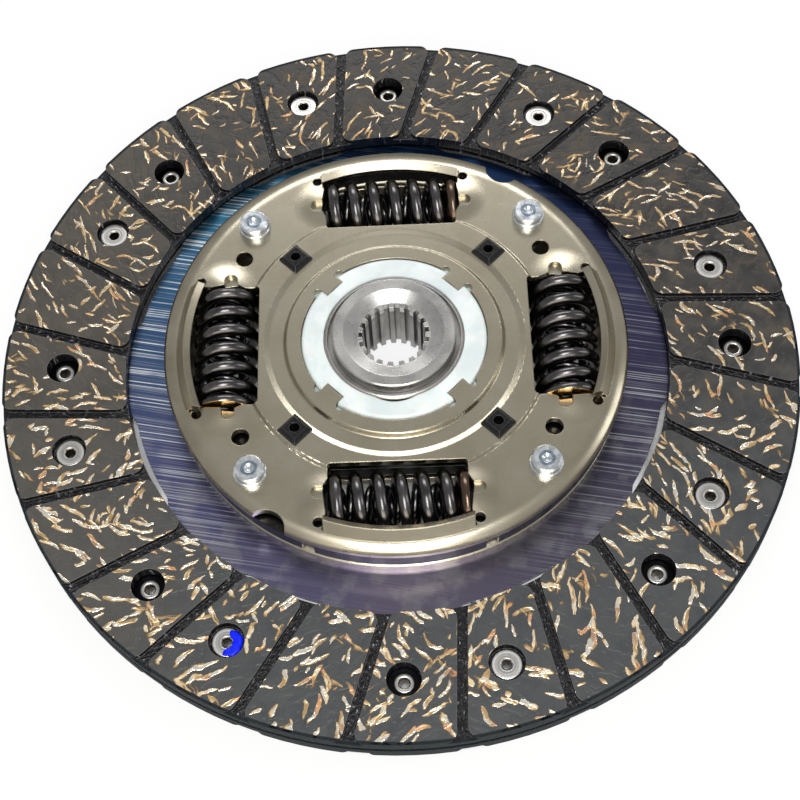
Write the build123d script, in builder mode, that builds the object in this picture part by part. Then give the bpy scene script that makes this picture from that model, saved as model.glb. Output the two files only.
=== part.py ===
"""Clutch disc with a torsion damper: two riveted friction facings on a waved cushion disc,
four nested spring pairs between two plates, and a splined hub that twists against them.

Millimetres. Z is the disc's axis, Z = 0 is the rear friction face, and +Z points to the retainer plate.
Azimuths are in degrees from +X; spring windows lie at 0, 90, 180 and 270, stop pins halfway between.
"""
from math import asin, cos, degrees, radians, sin, sqrt
import os

from build123d import *

os.makedirs("parts", exist_ok=True)

# ---------------------------------------------------------------- driving dimensions

# Friction facings
facing_radius = 100.0
facing_width_share = 0.315
facing_thickness = 3.5
pad_count = 24
pad_height = 1.5
pad_corner_radius = 2.4
groove_width = 2.6
groove_slant = 11.5
groove_azimuth = 9.05

# Facing rivets: each paddle carries one front and one rear rivet
paddle_count = 8
rivet_circle_offset = 0.5
front_rivet_azimuth = 16.15
rear_rivet_azimuth = 0.0
rivet_head_radius = 3.6
rivet_head_height = 1.0
rivet_head_depth = 1.5
rivet_head_round = 0.25
rivet_shank_radius = 2.0
rivet_bore_radius = 1.2
rivet_mouth_chamfer = 0.3
rivet_tail_radius = 2.55
rivet_tail_height = 1.3
rivet_tail_round = 0.55
counterbore_clearance = 0.7
access_clearance = 0.5

# Cushion disc
cushion_sheet = 0.8
cushion_wave = 0.7
cushion_ring_gap = 1.4
paddle_tip_inset = 1.5
paddle_span = 36.0
paddle_corner_radius = 3.0
paddle_root_inset = 4.5
neck_overlap = 2.0
neck_span = 18.4
neck_azimuth = -0.35
neck_flare = 3.6
neck_flare_run = 1.9
neck_taper = 2.0
wave_run = 14.0
tab_reach = 6.3
tab_span = 32.0
tab_corner_radius = 4.0

# Springs, an outer and an inner one in each window
window_count = 4
spring_circle_radius = 42.4
spring_length = 33.4
outer_wire = 3.1
outer_coil_radius = 6.85
outer_active_turns = 5.4
inner_wire = 1.9
inner_coil_radius = 3.95
inner_active_turns = 8
end_turns = 1
coil_gap = 0.1
ground_share = 0.26
spring_start_angle = 30.0

# Damper plates and the hub flange between them
damper_gap = 7.4
plate_sheet = 2.0
disc_plate_sheet = 2.2
flange_thickness = 4.0
plate_rim_width = 3.2
plate_edge_chamfer = 0.5
disc_plate_inset = 0.8
flange_inset = 0.7
cushion_window_gap = 1.7

# Spring windows
window_coil_gap = 0.3
window_end_bow = 1.3
window_straight_end = 3.8
window_bow_run = 2.2
window_waist_run = 4.0
window_waist_step = 1.0
window_corner_radius = 0.9
lip_coil_gap = 3.5
lip_half_width = 17.8
lip_end_gap = 0.4
lip_length = 3.36
lip_lean = 36.5
lip_foot = 0.6
lip_overlap = 1.1
relief_hole_radius = 1.25
relief_hole_inset = 2.05
relief_hole_azimuth = 21.3
flange_window_clearance = 0.3
flange_window_corner = 0.8
flange_notch_depth = 4.0
flange_notch_width = 3.2

# Stop pins
pin_inset = 7.7
pin_body_radius = 4.3
pin_neck_radius = 3.2
pin_collar_radius = 4.05
pin_collar_height = 1.1
pin_collar_chamfer = 0.3
pin_head_radius = 3.7
pin_head_height = 1.5
pin_head_chamfer = 0.4
pin_groove_height = 0.25
pin_groove_depth = 0.35
pin_punch_radius = 1.2
pin_punch_depth = 0.35
pin_punch_slope = 0.7
pin_tail_radius = 4.6
pin_tail_height = 1.7
pin_tail_chamfer = 0.5
twist_limit = 8.0
twist_clearance = 0.3

# Carrier rivets and the round holes above them
carrier_rivet_inset = 4.2
carrier_rivet_offset = 10.96
carrier_rivet_radius = 1.6
carrier_head_radius = 2.6
carrier_head_height = 1.1
carrier_tail_height = 1.0
round_hole_radius = 2.2

# Hub
hub_radius = 17.4
hub_front_reach = 9.75
hub_rear_reach = 9.05
hub_shoulder_drop = 2.3
collar_groove_width = 1.3
collar_groove_depth = 1.4
collar_groove_land = 0.85
collar_wall = 2.75
collar_recess_depth = 1.3
rear_boss_step = 2.4
rear_boss_height = 3.1
edge_chamfer = 0.6
spline_teeth = 19
spline_major_radius = 8.85
spline_depth = 1.1
spline_lead_in = 0.2
spline_root_share = 0.44
spline_mouth_share = 0.54
spline_azimuth = 7.45
hub_key_count = 8
hub_key_height = 2.2
hub_key_width = 6.0

# Bushes between the hub and the plates
running_clearance = 0.05
bush_wall = 5.55
bush_plate_clearance = 0.1
bush_flange_clearance = 0.3
bush_edge_radius = 1.1
bush_stand_proud = 0.2
bush_lug_clearance = 0.1
bush_relief_depth = 0.8
rear_bush_wall = 3.0
rear_bush_flange = 4.6
rear_bush_drop = 1.2

# Retainer plate embossing, from the hub outwards
lug_length = 2.4
lug_width = 5.4
lug_relief_radius = 1.1
ring_width = 3.6
ring_height = 1.6
band_slope = 0.8
band_width = 3.5
band_rise = 1.5
band_depth = 0.4
step_inset = 3.6
step_height = 0.8
emboss_run = 0.6
emboss_bend_radius = 0.4
notch_radius = 4.8
notch_offset = 1.5
notch_azimuths = (59.5, 237.5)

# Domes pressed up around the window ends, with a flat nub in each
dome_radius = 8.5
dome_height = 0.85
dome_end_offset = 0.3
dome_skirt = 0.2
nub_width = 3.3
nub_inset = 1.4
nub_reach = 4.0
nub_depth = 0.9

# Friction ring with four square pegs, the preload spring over it and the rear washer
peg_offset = 3.6
peg_width = 6.0
peg_top_bevel = 0.9
peg_height_above_plate = 1.3
peg_hole_radius = 1.25
peg_foot_margin = 1.2
friction_ring_margin = 2.0
friction_ring_thickness = 1.3
friction_gap = 0.05
washer_gap = 0.6
washer_inset = 0.5
preload_sheet = 0.45
preload_clearance = 0.3
preload_inner_gap = 0.5

cut_margin = 1.0

# ---------------------------------------------------------------- levels and places worked out from them

# Levels, from the rear friction face up
front_face_z = 2 * facing_thickness + cushion_sheet + cushion_wave
rear_facing_top = facing_thickness
front_facing_bottom = front_face_z - facing_thickness
cushion_bottom = rear_facing_top + cushion_wave / 2
cushion_top = cushion_bottom + cushion_sheet
disc_plate_top = cushion_top + disc_plate_sheet
retainer_bottom = disc_plate_top + damper_gap
retainer_top = retainer_bottom + plate_sheet
damper_z = (disc_plate_top + retainer_bottom) / 2
flange_bottom = damper_z - flange_thickness / 2
flange_top = damper_z + flange_thickness / 2
step_z = retainer_top + step_height
band_z = step_z - band_depth
ring_z = retainer_top + ring_height
plate_cut = plate_sheet + ring_height + 2 * cut_margin
hub_front_z = damper_z + hub_front_reach
hub_rear_z = damper_z - hub_rear_reach
shoulder_z = hub_front_z - hub_shoulder_drop
rear_boss_z = hub_rear_z + rear_boss_height

# Facings and cushion disc
facing_width = facing_width_share * facing_radius
facing_bore_radius = facing_radius - facing_width
rivet_circle_radius = facing_radius - facing_width / 2 + rivet_circle_offset
counterbore_radius = rivet_head_radius + counterbore_clearance
access_hole_radius = rivet_head_radius + access_clearance
cushion_ring_radius = facing_bore_radius - cushion_ring_gap
paddle_tip_radius = facing_radius - paddle_tip_inset
paddle_root_radius = facing_bore_radius + paddle_root_inset
paddle_pitch = 360 / paddle_count
paddle_centre = (front_rivet_azimuth + rear_rivet_azimuth) / 2
flip_axis_azimuth = paddle_centre

# Springs, windows and the plates' outlines around them
window_pitch = 360 / window_count
pin_azimuth = window_pitch / 2
half_spring = spring_length / 2
outer_spring_radius = outer_coil_radius + outer_wire / 2
window_inner_radius = spring_circle_radius - outer_spring_radius - window_coil_gap
lip_base_radius = spring_circle_radius + outer_spring_radius + lip_coil_gap
retainer_radius = lip_base_radius + plate_rim_width
disc_plate_radius = retainer_radius - disc_plate_inset
flange_radius = retainer_radius - flange_inset
cushion_window_radius = lip_base_radius + cushion_window_gap
mid_ring_radius = (cushion_window_radius + cushion_ring_radius) / 2
relief_hole_circle = lip_base_radius - relief_hole_inset
pin_circle_radius = retainer_radius - pin_inset
slot_half_width = pin_body_radius + twist_clearance
carrier_rivet_circle = pin_circle_radius - carrier_rivet_inset
carrier_azimuths = [
    base + side * (pin_azimuth - carrier_rivet_offset) for base in (0, 180) for side in (-1, 1)
]
tab_radius = pin_circle_radius - tab_reach
notch_centre_radius = retainer_radius + notch_offset
step_radius = spring_circle_radius - step_inset

# Hub, bushes and the rings around them, from the axis outwards
spline_minor_radius = spline_major_radius - spline_depth
collar_radius = hub_radius - collar_groove_land - collar_groove_width
collar_recess_radius = collar_radius - collar_wall
rear_boss_radius = hub_radius - rear_boss_step
hub_key_radius = hub_radius + hub_key_height
bush_bore_radius = hub_radius + running_clearance
bush_sleeve_radius = bush_bore_radius + bush_wall
collar_opening_radius = bush_sleeve_radius + bush_plate_clearance
lug_tip_radius = collar_opening_radius - lug_length
ring_outer_radius = collar_opening_radius + ring_width
band_inner_radius = ring_outer_radius + band_slope
band_outer_radius = band_inner_radius + band_width
peg_circle_radius = band_outer_radius + peg_offset
bush_flange_radius = ring_outer_radius - bush_flange_clearance
bush_relief_radius = (hub_radius + bush_relief_depth) / 2
bush_relief_centre = bush_bore_radius + bush_relief_depth - bush_relief_radius
friction_ring_outer = band_outer_radius + friction_ring_margin
friction_ring_inner = bush_flange_radius + washer_gap
preload_outer = peg_circle_radius - peg_width / 2 - preload_clearance
preload_inner = band_inner_radius + preload_inner_gap
rear_bush_sleeve_radius = hub_radius + rear_bush_wall
rear_bush_flange_radius = rear_bush_sleeve_radius + rear_bush_flange
rear_washer_inner = rear_bush_flange_radius + washer_gap
rear_washer_outer = friction_ring_outer - washer_inset


def polar(radius, azimuth):
    """The point at a radius and an azimuth."""
    return radius * cos(radians(azimuth)), radius * sin(radians(azimuth))


def around(radius, azimuths):
    """Locations at one radius and a list of azimuths, each turned to face outwards."""
    return Locations(*[Location((*polar(radius, a), 0), (0, 0, a)) for a in azimuths])


def sector(inner, outer, start, end, inner_start=None, inner_end=None):
    """An annular sector; the azimuths of its inner corners may differ from the outer ones."""
    near_start = start if inner_start is None else inner_start
    near_end = end if inner_end is None else inner_end
    with BuildSketch() as shape:
        with BuildLine():
            near = CenterArc((0, 0), inner, near_start, near_end - near_start)
            far = CenterArc((0, 0), outer, start, end - start)
            Line(near @ 0, far @ 0)
            Line(near @ 1, far @ 1)
        make_face()
    return shape.sketch


# ---------------------------------------------------------------- friction facings


def groove_side(radius, pad_side):
    """The azimuth, at a radius, of the groove wall on one side of the groove through groove_azimuth."""
    offset = rivet_circle_radius * sin(radians(groove_slant))
    turn = degrees(asin(offset / rivet_circle_radius) - asin(offset / radius))
    return groove_azimuth - turn + pad_side * degrees(asin(groove_width / 2 / radius))


def make_facing():
    """One facing as moulded, its friction face at front_face_z: slanted pads, counterbores, access holes."""
    pitch = 360 / pad_count
    outline = sector(
        facing_bore_radius,
        facing_radius,
        groove_side(facing_radius, 1),
        groove_side(facing_radius, -1) + pitch,
        groove_side(facing_bore_radius, 1),
        groove_side(facing_bore_radius, -1) + pitch,
    )
    pad = fillet(outline.vertices(), pad_corner_radius)
    with BuildPart() as facing:
        with BuildSketch(Plane.XY.offset(front_facing_bottom)):
            Circle(facing_radius)
            Circle(facing_bore_radius, mode=Mode.SUBTRACT)
        extrude(amount=facing_thickness - pad_height)
        with BuildSketch(Plane.XY.offset(front_face_z - pad_height)):
            with PolarLocations(0, pad_count):
                add(pad)
        extrude(amount=pad_height)
        with BuildSketch(Plane.XY.offset(front_facing_bottom)):
            with PolarLocations(rivet_circle_radius, paddle_count, front_rivet_azimuth):
                Circle(rivet_shank_radius)
            with PolarLocations(rivet_circle_radius, paddle_count, rear_rivet_azimuth):
                Circle(access_hole_radius)
        extrude(amount=facing_thickness, mode=Mode.SUBTRACT)
        with BuildSketch(Plane.XY.offset(front_face_z)):
            with PolarLocations(rivet_circle_radius, paddle_count, front_rivet_azimuth):
                Circle(counterbore_radius)
        extrude(amount=-(rivet_head_depth + rivet_head_height), mode=Mode.SUBTRACT)
    return facing.part


def flipped(part):
    """A part turned over about the horizontal line that swaps the front and rear rivet places."""
    x, y = polar(1, flip_axis_azimuth)
    return part.rotate(Axis((0, 0, front_face_z / 2), (x, y, 0)), 180)


facing = make_facing()
with BuildPart() as front_facing:
    add(facing)
with BuildPart() as rear_facing:
    add(flipped(facing))

# ---------------------------------------------------------------- facing rivets

# A tubular rivet under the friction face, its tail rolled over behind the paddle
head_top = front_face_z - rivet_head_depth
head_seat = head_top - rivet_head_height
paddle_back = front_facing_bottom - cushion_sheet
with BuildPart() as rivet:
    with BuildSketch(Plane.XZ) as rivet_section:
        with BuildLine():
            Polyline(
                (rivet_bore_radius, paddle_back - rivet_tail_height),
                (rivet_bore_radius, head_top - rivet_mouth_chamfer),
                (rivet_bore_radius + rivet_mouth_chamfer, head_top),
                (rivet_head_radius, head_top),
                (rivet_head_radius, head_seat),
                (rivet_shank_radius, head_seat),
                (rivet_shank_radius, paddle_back),
                (rivet_tail_radius, paddle_back),
                (rivet_tail_radius, paddle_back - rivet_tail_height),
                close=True,
            )
        make_face()
        fillet(rivet_section.vertices().group_by(Axis.Y)[0], rivet_tail_round)
        fillet(rivet_section.vertices().group_by(Axis.Y)[-1].sort_by(Axis.X)[-1], rivet_head_round)
    revolve(axis=Axis.Z)

with BuildPart() as front_rivets:
    with around(rivet_circle_radius, [front_rivet_azimuth + n * paddle_pitch for n in range(paddle_count)]):
        add(rivet.part)
with BuildPart() as rear_rivets:
    add(flipped(front_rivets.part))

# ---------------------------------------------------------------- cushion disc

blade_outline = sector(
    paddle_root_radius,
    paddle_tip_radius,
    paddle_centre - paddle_span / 2,
    paddle_centre + paddle_span / 2,
)
blade_outline = fillet(blade_outline.vertices(), paddle_corner_radius)
plate_tab = sector(
    tab_radius,
    mid_ring_radius,
    pin_azimuth - tab_span / 2,
    pin_azimuth + tab_span / 2,
)

# One paddle's blade, cut from a sheet that waves from the rear facing to the front one
blade_half_width = paddle_tip_radius * sin(radians(paddle_span / 2)) + cut_margin
with BuildPart() as paddle_blade:
    with BuildSketch(Plane.XY.offset(rear_facing_top)):
        add(blade_outline)
    extrude(amount=cushion_sheet + cushion_wave)
    x, y = polar(1, paddle_centre)
    with BuildSketch(Plane(origin=(0, 0, 0), x_dir=(-y, x, 0), z_dir=(x, y, 0))):
        with BuildLine():
            half_wave = wave_run / 2
            low = Line((-blade_half_width, rear_facing_top), (-half_wave, rear_facing_top))
            low_top = Line(
                (-blade_half_width, rear_facing_top + cushion_sheet),
                (-half_wave, rear_facing_top + cushion_sheet),
            )
            high = Line(
                (half_wave, front_facing_bottom - cushion_sheet),
                (blade_half_width, front_facing_bottom - cushion_sheet),
            )
            high_top = Line((half_wave, front_facing_bottom), (blade_half_width, front_facing_bottom))
            Spline(low @ 1, high @ 0, tangents=[(1, 0), (1, 0)])
            Spline(low_top @ 1, high_top @ 0, tangents=[(1, 0), (1, 0)])
            Line(low @ 0, low_top @ 0)
            Line(high @ 1, high_top @ 1)
        make_face()
    extrude(amount=facing_radius, mode=Mode.INTERSECT)

# The flat neck that joins a blade to the ring
neck_right = neck_azimuth + neck_span / 2
neck_left = neck_azimuth - neck_span / 2
neck_end_radius = paddle_root_radius + neck_overlap
with BuildSketch() as neck:
    Polygon(
        polar(mid_ring_radius, neck_right + neck_flare),
        polar(cushion_ring_radius, neck_right + neck_flare),
        polar(cushion_ring_radius + neck_flare_run, neck_right),
        polar(neck_end_radius, neck_right - neck_taper),
        polar(neck_end_radius, neck_left + neck_taper),
        polar(cushion_ring_radius + neck_flare_run, neck_left),
        polar(cushion_ring_radius, neck_left - neck_flare),
        polar(mid_ring_radius, neck_left - neck_flare),
        align=None,
    )

with BuildPart() as cushion_disc:
    with BuildSketch(Plane.XY.offset(cushion_bottom)) as ring:
        Circle(cushion_ring_radius)
        Circle(cushion_window_radius, mode=Mode.SUBTRACT)
        with PolarLocations(0, window_count):
            add(plate_tab)
        tab_corners = ring.vertices().sort_by(lambda v: v.X**2 + v.Y**2)[: 2 * window_count]
        fillet(tab_corners, tab_corner_radius)
        with PolarLocations(0, paddle_count):
            add(neck.sketch)
    extrude(amount=cushion_sheet)
    with PolarLocations(0, paddle_count):
        add(paddle_blade.part)
    with BuildSketch(Plane.XY.offset(rear_facing_top)):
        with PolarLocations(rivet_circle_radius, paddle_count, front_rivet_azimuth):
            Circle(rivet_shank_radius)
        with PolarLocations(rivet_circle_radius, paddle_count, rear_rivet_azimuth):
            Circle(rivet_shank_radius)
        with PolarLocations(pin_circle_radius, window_count, pin_azimuth):
            Circle(pin_neck_radius)
        with around(carrier_rivet_circle, carrier_azimuths):
            Circle(carrier_rivet_radius)
    extrude(amount=cushion_sheet + cushion_wave, mode=Mode.SUBTRACT)

# ---------------------------------------------------------------- damper plates


def make_window():
    """The outline of one spring window in a plate at azimuth 0: its ends bow away from the spring."""
    foot_radius = lip_base_radius - lip_foot
    side = lip_half_width + lip_end_gap
    foot = (sqrt(foot_radius**2 - side**2), side)
    waist = (foot[0] - window_waist_run, side - window_waist_step)
    straight_end = window_inner_radius + window_straight_end
    bow = (straight_end + window_bow_run, half_spring + window_end_bow)
    half = [foot, waist, bow, (straight_end, half_spring), (window_inner_radius, half_spring)]
    mirrored = [(x, -y) for x, y in half]
    with BuildSketch() as shape:
        with BuildLine():
            FilletPolyline(*mirrored, *reversed(half), radius=window_corner_radius)
            ThreePointArc(mirrored[0], (foot_radius, 0), foot)
        make_face()
    return shape.sketch


def make_lip(sheet, base_z, rise):
    """The bent-up outer edge of the window at azimuth 0, which keeps the spring from flying out."""
    lean = radians(lip_lean)
    tip = (lip_base_radius - lip_length * sin(lean), base_z + rise * lip_length * cos(lean))
    under_tip = (tip[0] - sheet * cos(lean), tip[1] - rise * sheet * sin(lean))
    far_z = base_z - rise * sheet
    foot = (under_tip[0] + abs(under_tip[1] - far_z) * sin(lean) / cos(lean), far_z)
    sweep_angle = 2 * degrees(asin(lip_half_width / (under_tip[0] - cut_margin)))
    with BuildPart() as lip:
        with BuildSketch(Plane.XZ.rotated((0, 0, -sweep_angle / 2))):
            Polygon(
                (lip_base_radius + lip_overlap, far_z),
                (lip_base_radius + lip_overlap, base_z),
                (lip_base_radius, base_z),
                tip,
                under_tip,
                foot,
                align=None,
            )
        revolve(axis=Axis.Z, revolution_arc=sweep_angle)
        with BuildSketch(Plane.XY.offset(min(far_z, tip[1]))):
            with Locations((lip_base_radius, 0)):
                Rectangle(2 * retainer_radius, 2 * lip_half_width)
        extrude(amount=sheet + lip_length, mode=Mode.INTERSECT)
    return lip.part


def make_dome(base_z):
    """A bell-shaped bulge on a level, its sides running out flat."""
    with BuildPart() as dome:
        with BuildSketch(Plane.XZ):
            with BuildLine():
                bell = Spline(
                    (0, base_z + dome_height),
                    (dome_radius, base_z),
                    tangents=[(1, 0), (1, 0)],
                )
                Polyline(bell @ 1, (dome_radius, base_z - dome_skirt), (0, base_z - dome_skirt), bell @ 0)
            make_face()
        revolve(axis=Axis.Z)
    return dome.part


plate_window = make_window()
retainer_lip = make_lip(plate_sheet, retainer_top, 1)
disc_plate_lip = make_lip(disc_plate_sheet, cushion_top, -1)
dome_places = [
    (spring_circle_radius, -half_spring - dome_end_offset),
    (spring_circle_radius, half_spring + dome_end_offset),
]


def plate_holes():
    """The holes that both damper plates share, for the sketch that is open."""
    with PolarLocations(pin_circle_radius, window_count, pin_azimuth):
        Circle(pin_neck_radius)
    for side in (-1, 1):
        with PolarLocations(relief_hole_circle, window_count, side * relief_hole_azimuth):
            Circle(relief_hole_radius)


with BuildPart() as retainer_plate:
    with BuildSketch(Plane.XZ):
        crest = [
            (retainer_radius - plate_edge_chamfer, retainer_top),
            (step_radius, retainer_top),
            (step_radius - emboss_run, step_z),
            (band_outer_radius + band_rise, step_z),
            (band_outer_radius, band_z),
            (band_inner_radius, band_z),
            (ring_outer_radius, ring_z),
            (lug_tip_radius, ring_z),
        ]
        with BuildLine():
            over = FilletPolyline(*crest, radius=emboss_bend_radius)
            under = FilletPolyline(*[(r, z - plate_sheet) for r, z in crest], radius=emboss_bend_radius)
            Polyline(
                over @ 0,
                (retainer_radius, retainer_top - plate_edge_chamfer),
                (retainer_radius, retainer_bottom),
                under @ 0,
            )
            Line(over @ 1, under @ 1)
        make_face()
    revolve(axis=Axis.Z)
    # domes around the window ends, hollow underneath
    for level, mode in ((retainer_top, Mode.ADD), (retainer_bottom, Mode.SUBTRACT)):
        dome = make_dome(level)
        for quarter in range(window_count):
            with Locations(Location((0, 0, 0), (0, 0, quarter * window_pitch))):
                with Locations(*dome_places):
                    add(dome, mode=mode)
    # nubs sheared halfway down, at the window ends
    nub_length = nub_reach + nub_width
    nub_centre = half_spring + nub_reach - nub_length / 2
    nub_floor = retainer_top - nub_depth
    for level, height, mode in (
        (nub_floor - plate_sheet, plate_sheet, Mode.ADD),
        (nub_floor, plate_cut, Mode.SUBTRACT),
    ):
        with BuildSketch(Plane.XY.offset(level)):
            with PolarLocations(0, window_count):
                for side in (-1, 1):
                    with Locations((spring_circle_radius - nub_inset, side * nub_centre)):
                        SlotOverall(nub_length, nub_width, rotation=90)
        extrude(amount=height, mode=mode)
    # windows and holes
    with BuildSketch(Plane.XY.offset(retainer_bottom - cut_margin)):
        with PolarLocations(0, window_count):
            add(plate_window)
        plate_holes()
        with around(carrier_rivet_circle, carrier_azimuths):
            Circle(round_hole_radius)
        with PolarLocations(peg_circle_radius, window_count, pin_azimuth):
            Rectangle(peg_width, peg_width)
        with around(notch_centre_radius, notch_azimuths):
            Circle(notch_radius)
    extrude(amount=plate_cut, mode=Mode.SUBTRACT)
    # central opening with four lugs
    with BuildSketch(Plane.XY.offset(retainer_bottom - cut_margin)):
        Circle(collar_opening_radius)
        with PolarLocations(lug_tip_radius + lug_length / 2, window_count, pin_azimuth):
            Rectangle(lug_length + 2 * cut_margin, lug_width, mode=Mode.SUBTRACT)
        for side in (-1, 1):
            lug_side = degrees(asin((lug_width / 2 + lug_relief_radius) / collar_opening_radius))
            with PolarLocations(collar_opening_radius, window_count, pin_azimuth + side * lug_side):
                Circle(lug_relief_radius)
    extrude(amount=plate_cut, mode=Mode.SUBTRACT)
    with PolarLocations(0, window_count):
        add(retainer_lip)

with BuildPart() as disc_plate:
    with BuildSketch(Plane.XY.offset(cushion_top)):
        Circle(disc_plate_radius)
        Circle(rear_bush_sleeve_radius, mode=Mode.SUBTRACT)
    extrude(amount=disc_plate_sheet)
    with BuildSketch(Plane.XY.offset(cushion_top)):
        with PolarLocations(0, window_count):
            add(plate_window)
        plate_holes()
        with around(carrier_rivet_circle, carrier_azimuths):
            Circle(carrier_rivet_radius)
    extrude(amount=disc_plate_sheet, mode=Mode.SUBTRACT)
    with PolarLocations(0, window_count):
        add(disc_plate_lip)

# ---------------------------------------------------------------- hub and flange

with BuildPart() as hub:
    with BuildSketch(Plane.XZ):
        with BuildLine():
            Polyline(
                (0, hub_rear_z),
                (rear_boss_radius - edge_chamfer, hub_rear_z),
                (rear_boss_radius, hub_rear_z + edge_chamfer),
                (rear_boss_radius, rear_boss_z),
                (hub_radius, rear_boss_z),
                (hub_radius, shoulder_z - edge_chamfer),
                (hub_radius - edge_chamfer, shoulder_z),
                (collar_radius + collar_groove_width, shoulder_z),
                (collar_radius + collar_groove_width, shoulder_z - collar_groove_depth),
                (collar_radius, shoulder_z - collar_groove_depth),
                (collar_radius, hub_front_z - edge_chamfer / 2),
                (collar_radius - edge_chamfer / 2, hub_front_z),
                (collar_recess_radius, hub_front_z),
                (spline_major_radius + spline_lead_in, hub_front_z - collar_recess_depth),
                (0, hub_front_z - collar_recess_depth),
                close=True,
            )
        make_face()
    revolve(axis=Axis.Z)
    with BuildSketch(Plane.XY.offset(flange_bottom)):
        Circle(hub_radius)
        with PolarLocations(hub_radius, hub_key_count):
            Rectangle(2 * (hub_key_radius - hub_radius), hub_key_width)
    extrude(amount=flange_thickness)
    with BuildSketch(Plane.XY.offset(hub_rear_z)):
        Circle(spline_minor_radius)
        half_pitch = 180 / spline_teeth
        with PolarLocations(0, spline_teeth, spline_azimuth):
            Polygon(
                polar(spline_minor_radius - cut_margin, -half_pitch * spline_mouth_share),
                polar(spline_minor_radius, -half_pitch * spline_mouth_share),
                polar(spline_major_radius, -half_pitch * spline_root_share),
                polar(spline_major_radius, half_pitch * spline_root_share),
                polar(spline_minor_radius, half_pitch * spline_mouth_share),
                polar(spline_minor_radius - cut_margin, half_pitch * spline_mouth_share),
                align=None,
            )
    extrude(amount=hub_front_z - hub_rear_z, mode=Mode.SUBTRACT)

# The flange's windows hold the springs by their ends only and are closed by its rim
spring_corner = Vector(spring_circle_radius + outer_spring_radius, half_spring).length
flange_window_rim = spring_corner + flange_window_clearance
flange_window_half = half_spring + running_clearance
flange_window_end = sqrt(flange_window_rim**2 - flange_window_half**2)
with BuildSketch() as flange_window:
    with BuildLine():
        Polyline(
            (flange_window_end, -flange_window_half),
            (window_inner_radius - flange_window_clearance, -flange_window_half),
            (window_inner_radius - flange_window_clearance, flange_window_half),
            (flange_window_end, flange_window_half),
        )
        ThreePointArc(
            (flange_window_end, -flange_window_half),
            (flange_window_rim, 0),
            (flange_window_end, flange_window_half),
        )
    make_face()
    fillet(flange_window.vertices(), flange_window_corner)

with BuildPart() as hub_flange:
    with BuildSketch(Plane.XY.offset(flange_bottom)):
        Circle(flange_radius)
        Circle(hub_radius, mode=Mode.SUBTRACT)
        with PolarLocations(hub_radius, hub_key_count):
            Rectangle(2 * (hub_key_radius - hub_radius), hub_key_width, mode=Mode.SUBTRACT)
        with PolarLocations(0, window_count):
            add(flange_window.sketch, mode=Mode.SUBTRACT)
        # slots whose ends meet the stop pins at the twist limits
        with PolarLocations(0, window_count, pin_azimuth):
            SlotArc(
                CenterArc((0, 0), pin_circle_radius, -twist_limit, 2 * twist_limit),
                2 * slot_half_width,
                mode=Mode.SUBTRACT,
            )
        # notches beside the windows
        with PolarLocations(flange_radius, 2 * window_count, pin_azimuth / 2):
            SlotOverall(2 * flange_notch_depth, flange_notch_width, mode=Mode.SUBTRACT)
    extrude(amount=flange_thickness)

# ---------------------------------------------------------------- springs


def make_coil(wire, radius, active_turns, lefthand):
    """A compression spring along Z about the origin: closed end coils, ground flat to spring_length."""
    full_length = spring_length + 2 * ground_share * wire
    end_pitch = wire + coil_gap
    end_rise = end_pitch * end_turns
    active_rise = full_length - 2 * end_rise
    handed = -1 if lefthand else 1
    first_turn = handed * 360 * end_turns
    last_turn = first_turn + handed * 360 * active_turns
    end_coil = (-full_length / 2, end_pitch, end_rise, 0)
    active_coils = (-active_rise / 2, active_rise / active_turns, active_rise, first_turn)
    last_coil = (active_rise / 2, end_pitch, end_rise, last_turn)
    edges = []
    for level, pitch, rise, turn in (end_coil, active_coils, last_coil):
        run = Location((0, 0, level), (0, 0, turn)) * Helix(pitch, rise, radius, lefthand=lefthand)
        edges += run.edges()
    route = Wire(edges)
    with BuildPart() as coil:
        with BuildSketch(Plane(route @ 0, z_dir=route % 0)):
            Circle(wire / 2)
        sweep(path=route, is_frenet=True)
        split(bisect_by=Plane.XY.offset(-half_spring), keep=Keep.TOP)
        split(bisect_by=Plane.XY.offset(half_spring), keep=Keep.BOTTOM)
    return coil.part


outer_coil = make_coil(outer_wire, outer_coil_radius, outer_active_turns, False)
inner_coil = make_coil(inner_wire, inner_coil_radius, inner_active_turns, True)


def spring_seat(number):
    """The location of one spring: its axis runs along its window, always towards -Y or +X."""
    azimuth = number * window_pitch
    along = (0, -1, 0) if number % 2 == 0 else (1, 0, 0)
    centre = (*polar(spring_circle_radius, azimuth), damper_z)
    seat = Plane(origin=centre, x_dir=(0, 0, 1), z_dir=along).location
    return seat * Location((0, 0, 0), (0, 0, spring_start_angle))


springs = {}
for number in range(window_count):
    for name, coil in (("damper_spring", outer_coil), ("inner_spring", inner_coil)):
        with BuildPart() as spring:
            with Locations(spring_seat(number)):
                add(coil)
        springs[f"{name}_{number + 1}"] = spring

# ---------------------------------------------------------------- stop pins and carrier rivets

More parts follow.
